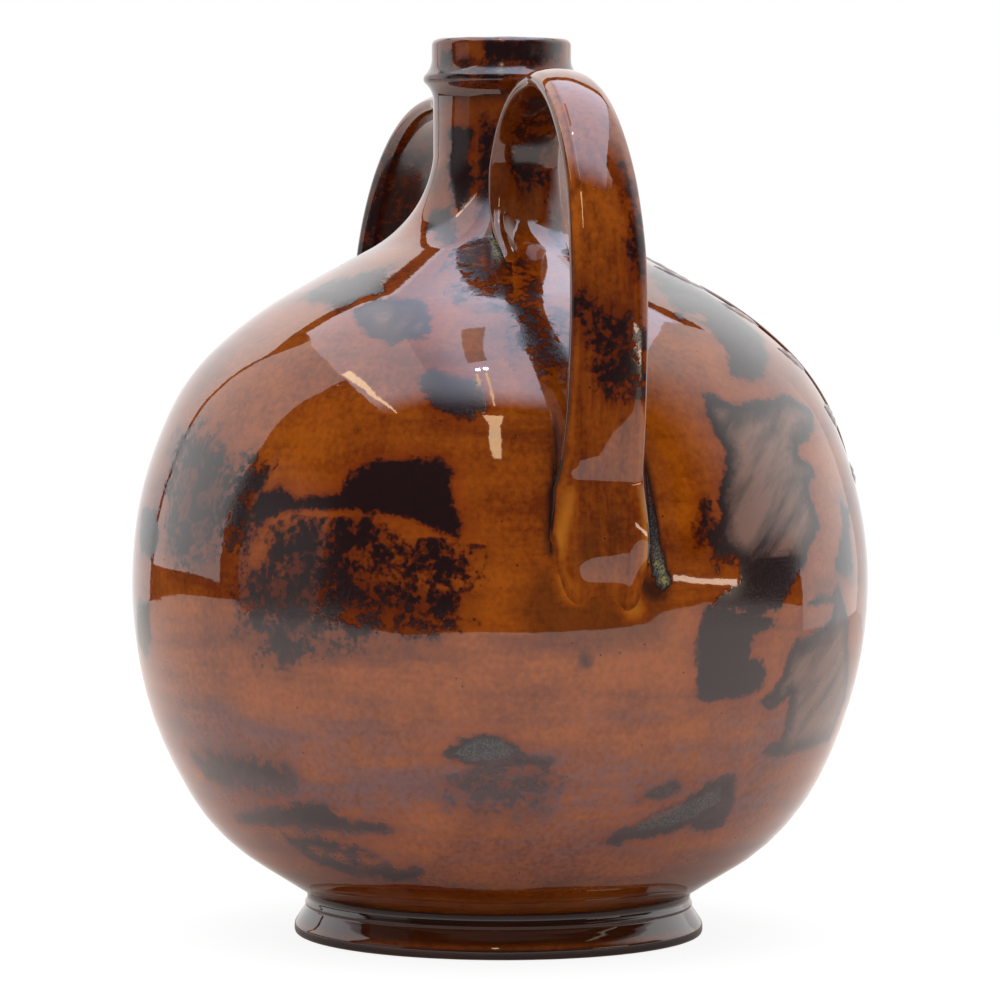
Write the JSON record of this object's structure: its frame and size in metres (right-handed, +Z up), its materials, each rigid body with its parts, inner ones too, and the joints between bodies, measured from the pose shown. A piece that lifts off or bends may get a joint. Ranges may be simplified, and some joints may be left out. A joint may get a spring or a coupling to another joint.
{
  "type": "flask",
  "caption": "Globular earthenware flask with a narrow beaded neck, strap handles from neck to belly, a turned foot ring and a low leafy wreath in relief, under mottled brown glaze.",
  "frame": {"origin": "on the table, at the middle of the foot ring", "axes": "+Z up the neck, +X towards the near handle, +Y towards the face with the relief"},
  "size_m": [0.2572, 0.2472, 0.3002],
  "materials": {
    "body_glaze": "glossy lead glaze over mottled brown earthenware",
    "strap_glaze": "glossy lead glaze, thinner on the strap's ridges",
    "foot_glaze": "glossy lead glaze, pooled dark"
  },
  "bodies": {
    "root": {"lower_bowl": "body_glaze", "upper_dome": "body_glaze", "neck": "body_glaze", "foot_ring": "foot_glaze", "near_handle": "strap_glaze", "far_handle": "strap_glaze", "left_stem": "body_glaze", "left_leaves": "body_glaze", "right_stem": "body_glaze", "right_leaves": "body_glaze", "wreath_knot": "body_glaze"}
  },
  "joints": []
}
